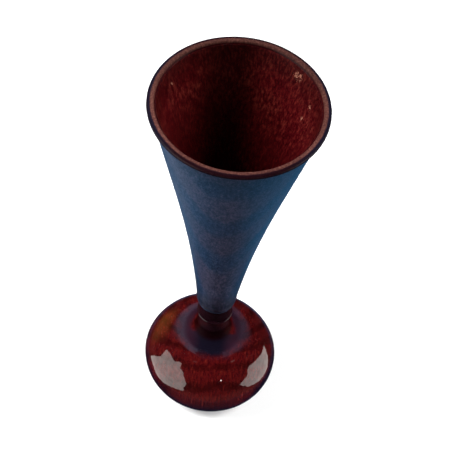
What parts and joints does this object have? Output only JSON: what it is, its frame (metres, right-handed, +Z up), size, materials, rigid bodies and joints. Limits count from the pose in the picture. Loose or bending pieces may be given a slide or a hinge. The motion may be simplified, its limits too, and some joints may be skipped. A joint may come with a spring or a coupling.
{
  "type": "dip pen holder",
  "caption": "Tall turned wooden pen holder: a flared, hollow conical cup with an overhanging lip ring, on a slim collared neck over a rounded, polished foot with a felt base.",
  "frame": {"origin": "centre of the underside, on the surface that the holder stands on", "axes": "+Z up along the axis that every piece is turned about, towards the mouth; X and Y are level and interchangeable"},
  "size_m": [0.058, 0.058, 0.15],
  "materials": {
    "lip_wood": "varnished reddish-brown wood, satin, paler than the cup",
    "cup_wood": "blue-stained varnished wood outside, dark red-brown inside",
    "foot_wood": "dark red wood under a high-gloss varnish",
    "dowel_wood": "plain unfinished hardwood",
    "weight_steel": "plain turned steel, dull",
    "felt": "dark green pressed felt"
  },
  "bodies": {
    "root": {"lip_ring": "lip_wood", "cup": "cup_wood", "neck_collar": "foot_wood", "foot": "foot_wood", "centre_dowel": "dowel_wood", "base_weight": "weight_steel", "felt_pad": "felt"}
  },
  "joints": []
}
